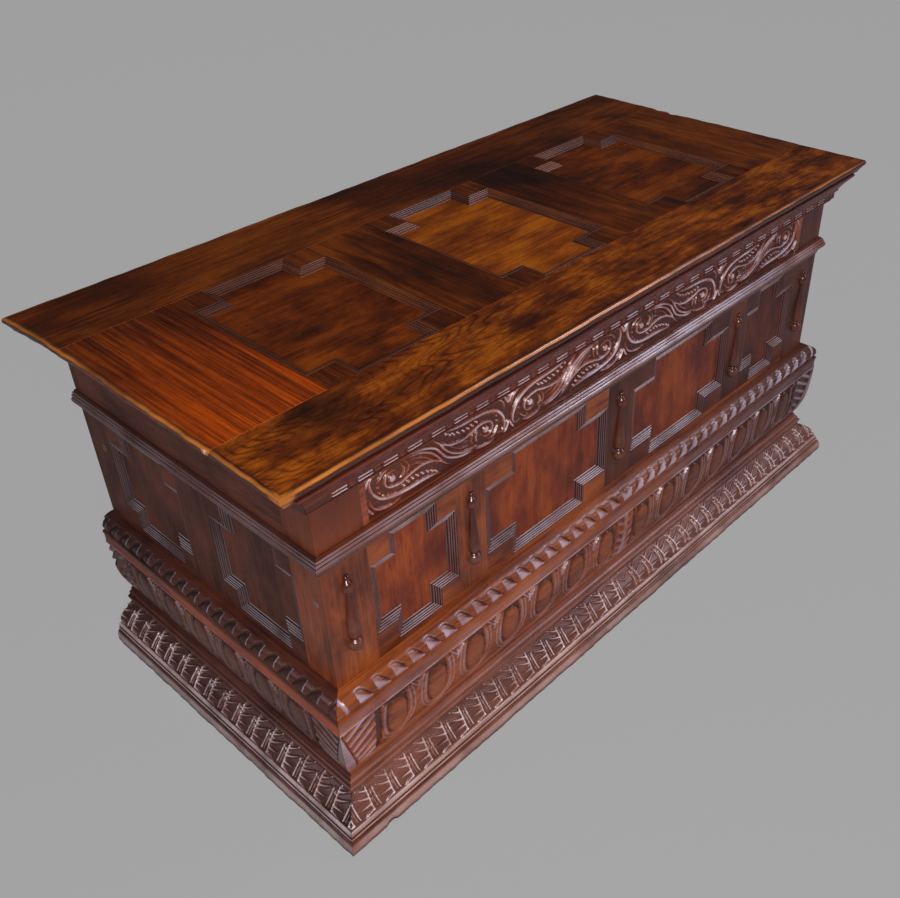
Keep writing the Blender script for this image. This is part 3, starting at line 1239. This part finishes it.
# Shares of the radius and of the height, from the foot up
balusterShape = [
    [0.0, 0.0], [0.42, 0.002], [0.8, 0.025], [1.0, 0.075], [0.95, 0.125], [0.64, 0.16], [0.56, 0.178],
    [0.62, 0.186], [0.8, 0.2], [0.85, 0.25], [0.75, 0.38], [0.52, 0.56], [0.35, 0.71], [0.3, 0.765],
    [0.34, 0.775], [0.56, 0.785], [0.74, 0.82], [0.76, 0.85], [0.66, 0.89], [0.42, 0.925], [0.29, 0.94],
    [0.42, 0.953], [0.44, 0.968], [0.34, 0.99], [0.0, 1.0],
]


def balusterPiece(number, x):
    line = smoothLine(np.array(balusterShape) * (baluster["radius"], baluster["height"]), baluster["step"])
    radius = np.clip(line[:, :1], baluster["thinnest"], None)
    turn = np.linspace(0, math.pi, baluster["segments"] + 1)
    u = x - radius * np.cos(turn)
    v = np.broadcast_to(baluster["foot"] + line[:, 1:], u.shape)
    w = radius * np.sin(turn) + chest["gap"]
    index = np.arange(u.size).reshape(u.shape)
    faces = gridFaces(index).tolist()
    faces.append(np.concatenate([index[:, 0], index[::-1, -1]]).tolist())
    relief = np.broadcast_to(np.clip(radius / baluster["radius"], 0, 1), u.shape)
    names = (f"split_baluster_{number}_turned", "carcass", f"split_baluster_{number}", "carved_oak")
    finishPiece(names, frontAt(u, v, w).reshape(-1, 3), faces, [oak("turnedOak", "z")], relief, None, "round")


# Pegs that lock the tenons of the end rails: trimmed by hand, and left a little proud

pegs = {
    "places": ((-261.0, 429.0), (281.0, 428.0)),
    "radius": 6.5,
    "proud": 1.4,
    "sunk": 6.0,
    "segments": 14,
    "trimmed": 0.06,
}
# Shares of the radius and of the height proud, up to the head; the first ring is sunk in the rail
pegRings = ((1.0, 0.3), (0.86, 0.85), (0.4, 1.0))


def pegPiece(side):
    points = []
    faces = []
    turn = np.linspace(0, 2 * math.pi, pegs["segments"], endpoint=False)
    rings = [(1.0, -pegs["sunk"]), *((share, rise * pegs["proud"]) for share, rise in pegRings)]
    for u, v in pegs["places"]:
        index = len(points) + np.arange(len(rings) * len(turn)).reshape(len(rings), len(turn))
        for share, w in rings:
            reach = pegs["radius"] * share * (1 + pegs["trimmed"] * np.sin(3 * turn + u))
            level = np.full_like(turn, w)
            points.extend(np.stack([u + reach * np.cos(turn), v + reach * np.sin(turn), level], -1))
        faces.extend(gridFaces(np.hstack([index, index[:, :1]])).tolist())
        faces.append(index[0, ::-1].tolist())
        faces.append(index[-1].tolist())
    if side == "left":
        faces = [face[::-1] for face in faces]
    finishPiece((f"end_pegs_{side}", "carcass", None, "end_oak"), walls[side](*np.array(points).T), faces,
                [oak("pegOak", "x")], np.full(len(points), 0.8))


# Lid: framed boards with a worn rounded nosing, round three moulded panels

lid = {
    "halfLength": 700.0,
    "frontY": -322.0,
    "backY": 342.0,
    "bottom": 652.0,
    "top": 674.0,
    "nosing": 9.0,
    "stileEdge": 514.0,
    "muntin": (130.0, 254.0),
    "opening": (-180.0, 188.0),
    "panelSunk": 0.2,
    "step": 8.0,
    "edgeReach": 40.0,  # how far in from an edge the board's grid moves with it
    "edgeWaver": 1.1,
    "edgePeriods": (410, 290),  # along the length and along the depth
    "easing": 0.5,
    "surfaceWaver": 0.35,
    "surfacePeriods": (75, 330),  # across the grain and over the whole lid
    "flare": 8.0,  # the left edge runs out at its back corner
    "flareReach": 60.0,
    "chipAt": -171.0,  # a small bare chip in the left edge
    "chipRadius": 9.0,
}
# Shares of the nosing's inset and of the lid's thickness, from the underside up
nosingShape = [
    [1, 0], [0.95, 0.08], [0.75, 0.22], [0.5, 0.36], [0.4, 0.46], [0.36, 0.52], [0.12, 0.55], [0.03, 0.62],
    [0.0, 0.7], [0.03, 0.8], [0.12, 0.89], [0.28, 0.955], [0.52, 0.99], [0.85, 1.0],
]
nicks = [  # where the right-hand edge lost small pieces: y, width, depth
    (163.0, 16.0, 5.0), (127.0, 18.0, 7.0), (106.0, 34.0, 3.0), (40.0, 40.0, 2.5),
]


def lidOutline(x, y, outer, share, height):
    # The board's grid at one height, with the lid's own edges drawn in by the nosing and by wear, and the
    # joints by a slight easing
    xs = np.linspace(x[0], x[1], max(4, int((x[1] - x[0]) / lid["step"])))
    ys = np.linspace(y[0], y[1], max(4, int((y[1] - y[0]) / lid["step"])))
    gridX, gridY = np.meshgrid(xs, ys)
    easing = lid["easing"] * np.clip((height - 0.95) / 0.05, 0, 1)
    alongPeriod, depthPeriod = lid["edgePeriods"]
    swayX = lid["edgeWaver"] * wavering(gridX, alongPeriod, 1)
    swayY = lid["edgeWaver"] * wavering(gridY, depthPeriod, 3)
    nick = sum(depth * np.exp(-((gridY - at) / wide * 2) ** 4) for at, wide, depth in nicks)
    flare = lid["flare"] * np.exp((gridY - lid["backY"]) / lid["flareReach"])
    inset = share * lid["nosing"]
    left = inset + swayY + 0.8 - flare if "left" in outer else easing
    right = inset + swayY + nick + 0.8 if "right" in outer else easing
    front = inset + swayX * 0.6 + 0.5 if "front" in outer else easing
    back = inset + swayX + 0.8 if "back" in outer else easing

    def near(distance):
        return np.clip(1 - distance / lid["edgeReach"], 0, 1)

    movedX = gridX + (left * near(gridX - x[0]) - right * near(x[1] - gridX))
    movedY = gridY + (front * near(gridY - y[0]) - back * near(y[1] - gridY))
    return movedX, movedY, np.full_like(gridX, lid["bottom"] + height * (lid["top"] - lid["bottom"]))


def nosingShade(x, y, height):
    # The crest of the nosing is worn, less so away from the near corner, nearly bare over the right half of
    # the front, and bare at one chip
    worn = np.interp(height, [0, 0.4, 0.7, 0.8, 0.88, 0.97, 1], [0.05, 0.12, 0.35, 0.6, 1.0, 0.9, 0.5])
    away = np.hypot(x + lid["halfLength"], y - lid["frontY"])
    faded = np.interp(away, [0, 450, 800, 1400], [1.0, 0.95, 0.76, 0.7])
    shade = np.where(worn > 0.5, 0.5 + (worn - 0.5) * (2 * faded - 1), worn)
    shade = np.maximum(shade, 0.95 * np.clip(1.8 - away / 20, 0, 1))
    bared = np.interp(x, [-450, 0, 500, 700], [0.0, 0.62, 0.62, 0.4]) * (y < lid["frontY"] + lid["nosing"])
    shade = shade + bared * np.clip((worn - 0.93) / 0.07, 0, 1)
    chipped = np.hypot(x + lid["halfLength"], (y - lid["chipAt"]) * 1.5) < lid["chipRadius"]
    return np.where(chipped & (height > 0.5) & (height < 0.9), 1.5, shade)


def lidBoard(name, x, y, outer, grainAxis, node, seed, wood="lidOak"):
    # outer holds the sides of this board that lie on the lid's own edge: "left", "right", "front", "back"
    shape = smoothLine(nosingShape, 0.07)
    shape[:, 1] = np.clip(shape[:, 1], 0, 1)
    rings = [lidOutline(x, y, outer, share, height) for share, height in shape]
    topX, topY, topZ = rings[-1]
    finePeriod, broadPeriod = lid["surfacePeriods"]
    waver = wavering(topY if grainAxis == "x" else topX, finePeriod, seed)
    dips = wavering(topX + 0.6 * topY, broadPeriod, seed + 2)
    topZ = topZ + 0.5 * lid["surfaceWaver"] * (waver + dips - 2)
    points = [np.stack([topX, topY, topZ], -1).reshape(-1, 3)]
    relief = [np.full(topX.size, 0.5)]
    index = np.arange(topX.size).reshape(topX.shape)
    faces = gridFaces(index).tolist()
    faceWoods = [np.zeros(len(faces), int)]
    # The nosing goes down ring by ring round the board
    loop = np.concatenate([index[0, :], index[1:, -1], index[-1, -2::-1], index[-2:0:-1, 0]])
    following = np.roll(np.arange(len(loop)), -1)
    previous = loop
    total = topX.size
    for ring, (share, height) in zip(rings[-2::-1], shape[-2::-1]):
        flat = np.stack(ring, -1).reshape(-1, 3)[loop]
        points.append(flat)
        relief.append(nosingShade(flat[:, 0], flat[:, 1], height))
        current = np.arange(total, total + len(loop))
        total += len(loop)
        faces.extend(np.stack([current, current[following], previous[following], previous], -1).tolist())
        previous = current
    faces.append(previous[::-1].tolist())
    # The lid's own edge takes the polished wood, joints keep the board's, and the underside was never stained
    loopX = topX.ravel()[loop]
    loopY = topY.ravel()[loop]
    margin = 2 * lid["nosing"]
    onFrontOrBack = (loopY < lid["frontY"] + margin) | (loopY > lid["backY"] - margin)
    onEdge = (np.abs(loopX) > lid["halfLength"] - margin) | onFrontOrBack
    faceWoods.extend([np.tile(onEdge, len(shape) - 1), [2]])
    woodsHere = [oak(wood, grainAxis), oak("lidEdgeOak", grainAxis), oak("insideOak", grainAxis)]
    finishPiece((name, "lid", node, "lid_oak"), np.concatenate(points), faces, woodsHere,
                np.concatenate(relief), np.concatenate(faceWoods), "round")


def lidAt(u, v, w):
    return np.stack([u, v, lid["top"] - lid["panelSunk"] + w], -1)


def lidPieces():
    edge = lid["halfLength"]
    stile = lid["stileEdge"]
    inner, outer = lid["muntin"]
    low, high = lid["opening"]
    gap = chest["gap"] / 2
    between = (low + gap, high - gap)
    lidBoard("lid_front_board", (-edge, edge), (lid["frontY"], low - gap), ("left", "right", "front"), "x",
             "lid_rail_front", 1, "lidCrotchOak")
    lidBoard("lid_back_board", (-edge, edge), (high + gap, lid["backY"]), ("left", "right", "back"), "x",
             "lid_rail_back", 2)
    lidBoard("lid_left_board", (-edge, -stile - gap), between, ("left",), "y", "lid_stile_left", 3,
             "lidStileOak")
    lidBoard("lid_right_board", (stile + gap, edge), between, ("right",), "y", "lid_stile_right", 4)
    lidBoard("lid_left_middle_board", (-outer + gap, -inner - gap), between, (), "y", "lid_muntin_left", 5)
    lidBoard("lid_right_middle_board", (inner + gap, outer - gap), between, (), "y", "lid_muntin_right", 6)
    sizes = (panelSizes["lidStepWidth"], panelSizes["lidStepHeight"], panelSizes["lidMoulding"],
             panelSizes["lidDepth"])
    for word, u in (("left", (-stile, -outer)), ("centre", (-inner, inner)), ("right", (outer, stile))):
        field = oak("lidCentreOak" if word == "centre" else "lidFieldOak", "x")
        woodsHere = [oak("lidOak", "y"), oak("lidMouldingOak", "x"), field, oak("insideOak", "x"),
                     oak("lidMouldingOak", "y")]
        names = (f"lid_{word}_panel_moulded", "lid", f"lid_panel_{word}", "lid_field_oak")
        mouldedPanel(names, lidAt, u, (low, high), sizes, woodsHere, len(word))


# Boards and hinges that keep their CAD mesh: their edges are eased, and a board's grain follows its length

# Each wood and its grain, with the starts of the names of its boards
boardLooks = {
    ("nearStileOak", "z"): ("stile_front_left",),
    ("frameOak", "z"): ("muntin_front_left",),
    ("frameOak", "x"): ("bottom_rail_front",),
    ("shadedFrameOak", "z"): ("stile_front_right", "muntin_front_centre", "muntin_front_right"),
    ("endOak", "z"): ("stile_back", "muntin_left", "muntin_right"),
    ("endOak", "y"): ("top_rail_left", "top_rail_right", "bottom_rail_left", "bottom_rail_right"),
    ("insideOak", "x"): ("top_rail_back", "bottom_rail_back", "panel_back", "floor_board"),
}
eased = {"board": 0.9, "iron": 0.4}


def dressNode(piece, material, width):
    piece.data.materials.clear()
    piece.data.materials.append(material)
    ease = piece.modifiers.new("easedEdges", "BEVEL")
    ease.width = width * mm
    ease.segments = 2
    ease.limit_method = "ANGLE"


def dressBoards():
    for name, piece in nodes.items():
        for (look, grainAxis), starts in boardLooks.items():
            if name.startswith(starts):
                dressNode(piece, oak(look, grainAxis), eased["board"])


def dressHinges():
    iron = forgedIron()
    for name, piece in nodes.items():
        if name.startswith("hinge"):
            dressNode(piece, iron, eased["iron"])


# Stage: camera, lamps and a plain floor

viewpoint = {
    "place": (-1.1790, -1.1231, 1.3847),
    "azimuth": -46.364,
    "elevation": 36.028,
    "roll": -1.366,
    "lens": 40.917,
    "shift": (-0.05627, 0.00662),
}


def makeCamera():
    data = bpy.data.cameras.new("camera")
    data.lens = viewpoint["lens"]
    data.sensor_width = 36
    data.sensor_fit = "HORIZONTAL"
    data.shift_x, data.shift_y = viewpoint["shift"]
    data.clip_start = 0.05
    data.clip_end = 60
    camera = addObject("camera", data)
    a = math.radians(viewpoint["azimuth"])
    e = math.radians(viewpoint["elevation"])
    back = Vector((math.sin(a) * math.cos(e), -math.cos(a) * math.cos(e), math.sin(e)))
    across = Vector((0, 0, 1)).cross(back).normalized()
    up = back.cross(across)
    turned = Matrix((across, up, back)).transposed().to_4x4()
    roll = Matrix.Rotation(math.radians(viewpoint["roll"]), 4, "Z")
    camera.matrix_world = Matrix.Translation(viewpoint["place"]) @ turned @ roll
    bpy.context.scene.camera = camera


lamps = {
    "key": {"place": (-1.65, -1.98, 1.65), "size": 0.8, "watts": 55, "colour": "#fdf4f6"},
    "far": {"place": (2.4, -1.3, 3.3), "size": 1.0, "watts": 34, "colour": "#f4eeff"},
    "low": {"place": (2.3, -2.5, 1.45), "size": 1.0, "watts": 13, "colour": "#ece8ff"},
    "window": {"place": (-3.5, 1.2, 2.6), "size": 1.6, "watts": 22, "colour": "#f4eeff"},
}
lampAim = (0, 0, 0.4)


def makeLamps():
    for name, lamp in lamps.items():
        data = bpy.data.lights.new(name, "AREA")
        data.shape = "SQUARE"
        data.size = lamp["size"]
        data.energy = lamp["watts"]
        data.color = linearColour(lamp["colour"])[:3]
        piece = addObject(name, data)
        piece.location = lamp["place"]
        aim = Vector(lampAim) - Vector(lamp["place"])
        piece.rotation_euler = aim.to_track_quat("-Z", "Y").to_euler()


roomLook = {"light": "#ffffff", "strength": 0.07, "seen": "#a4a4a4"}


def makeRoom():
    # The room gives a little even light, and past the floor it is seen as the same plain grey
    world = bpy.data.worlds.new("plainRoom")
    bpy.context.scene.world = world
    world.use_nodes = True
    tree = world.node_tree
    tree.nodes.clear()
    out = addNode(tree, "ShaderNodeOutputWorld")
    light = addNode(tree, "ShaderNodeBackground",
                    {"Color": linearColour(roomLook["light"]), "Strength": roomLook["strength"]})
    seen = addNode(tree, "ShaderNodeBackground", {"Color": linearColour(roomLook["seen"])})
    direct = addNode(tree, "ShaderNodeLightPath").outputs["Is Camera Ray"]
    mix = addNode(tree, "ShaderNodeMixShader", {0: direct, 1: light.outputs[0], 2: seen.outputs[0]})
    tree.links.new(mix.outputs[0], out.inputs["Surface"])


floorLook = {"colour": "#a4a4a4", "evenness": 0.87, "glow": 1.05, "reach": 15.0}


def paintedFloor():
    # Grey floor paint: seen directly it is mostly its own plain colour, and it still takes the shadow
    material, tree, out = newMaterial("paintedFloor")
    colour = linearColour(floorLook["colour"])
    paint = addNode(tree, "ShaderNodeBsdfDiffuse", {"Color": colour})
    glow = addNode(tree, "ShaderNodeEmission", {"Color": colour, "Strength": floorLook["glow"]})
    direct = addNode(tree, "ShaderNodeLightPath").outputs["Is Camera Ray"]
    share = calculate(tree, "MULTIPLY", direct, floorLook["evenness"])
    mix = addNode(tree, "ShaderNodeMixShader", {0: share, 1: paint.outputs[0], 2: glow.outputs[0]})
    tree.links.new(mix.outputs[0], out.inputs["Surface"])
    return material


def makeFloor():
    mesh = bpy.data.meshes.new("floor")
    reach = floorLook["reach"]
    corners = [(-reach, -reach, 0), (reach, -reach, 0), (reach, reach, 0), (-reach, reach, 0)]
    mesh.from_pydata(corners, [], [(0, 1, 2, 3)])
    mesh.materials.append(paintedFloor())
    piece = addObject("floor", mesh)


# Put the chest together

dressBoards()
dressHinges()
print("boards and hinges dressed")
friezePiece()
print("frieze carved")
for side in walls:
    cornicePiece(side)
    waistPiece(side)
print("cornice and waist run")
for side in walls:
    plinthPiece(side)
print("plinth carved")
for side in walls:
    basePiece(side)
print("base carved")
wallPanels()
postMiddle = chest["halfLength"] - chest["postWidth"] / 2
for number, x in enumerate((-postMiddle, -chest["muntinAt"], 0, chest["muntinAt"], postMiddle), 1):
    balusterPiece(number, x)
for side in ("left", "right"):
    pegPiece(side)
print("panels, balusters and pegs made")
lidPieces()
print("lid made")
makeCamera()
makeLamps()
makeRoom()
makeFloor()
bpy.context.scene.view_settings.view_transform = "Standard"
print("stage set")
